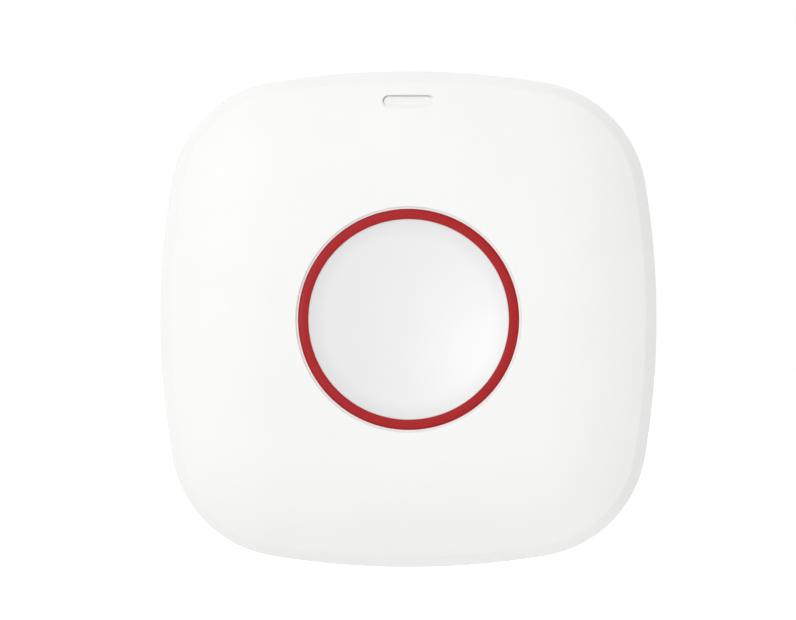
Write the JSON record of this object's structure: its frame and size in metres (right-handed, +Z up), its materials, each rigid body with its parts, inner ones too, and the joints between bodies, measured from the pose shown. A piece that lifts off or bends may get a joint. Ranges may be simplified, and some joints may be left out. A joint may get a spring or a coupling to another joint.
{
  "type": "panic button",
  "caption": "Bowed-square wall unit with a large concave push button in a red ring, a slot-shaped indicator window, a bayonet battery door and a wall plate that it lifts off.",
  "frame": {"origin": "centre of the wall plate's back face, on the wall", "axes": "+Z up the wall, +Y into the wall, so the front faces -Y; +X to the right as seen from the front"},
  "size_m": [0.074, 0.022, 0.074],
  "materials": {
    "case_plastic": "satin white moulded plastic with a fine texture",
    "plate_plastic": "matt white moulded plastic",
    "button_plastic": "satin light grey moulded plastic",
    "red_plastic": "satin dark red plastic",
    "diffuser": "milky translucent plastic",
    "seal_rubber": "matt dark grey rubber",
    "board": "green solder mask over copper tracks",
    "black_plastic": "matt black plastic",
    "shield": "nickel-plated sheet",
    "contact_metal": "gold-plated strip",
    "capacitor": "brown ceramic",
    "steel": "zinc-plated steel"
  },
  "bodies": {
    "wall_plate": {"wall_plate": "plate_plastic"},
    "housing": {"rear_housing": "case_plastic", "front_cover": "case_plastic", "housing_seal": "seal_rubber", "led_window": "diffuser", "return_spring": "steel", "circuit_board": "board", "switch_body": "black_plastic", "status_led": "diffuser", "control_chip": "black_plastic", "radio_module": "shield", "antenna": "contact_metal", "crystal": "shield", "chip_capacitors": "capacitor", "coin_cell": "shield", "positive_contact": "contact_metal", "negative_contact": "contact_metal", "door_seal": "seal_rubber", "tamper_switch": "black_plastic", "tamper_spring": "steel", "housing_screws": "steel", "board_screws": "steel"},
    "button": {"button_cap": "button_plastic", "button_ring": "red_plastic"},
    "switch_plunger": {"switch_plunger": "black_plastic"},
    "tamper_plunger": {"tamper_plunger": "black_plastic"},
    "battery_door": {"battery_door": "case_plastic"}
  },
  "joints": [
    {"name": "housing_lift", "type": "slide", "parent": "wall_plate", "child": "housing", "axis": [0, 0, 1], "range_m": [0, 0.007]},
    {"name": "button_press", "type": "slide", "parent": "housing", "child": "button", "axis": [0, 1, 0], "range_m": [0, 0.001], "stiffness_N_per_m": 1500, "springref_m": -0.0008, "deforming": ["return_spring"]},
    {"name": "switch_press", "type": "slide", "parent": "housing", "child": "switch_plunger", "axis": [0, 1, 0], "range_m": [0, 0.001]},
    {"name": "tamper_release", "type": "slide", "parent": "housing", "child": "tamper_plunger", "axis": [0, 1, 0], "range_m": [0, 0.001], "deforming": ["tamper_spring"]},
    {"name": "battery_door_turn", "type": "hinge", "parent": "housing", "child": "battery_door", "pos_m": [0, -0.0031, 0], "axis": [0, 1, 0], "range_deg": [0, 45]}
  ],
  "couplings": [
    {"joint": "switch_press", "follows": "button_press", "ratio": 1},
    {"joint": "tamper_release", "follows": "housing_lift", "ratio": 0.14286}
  ]
}
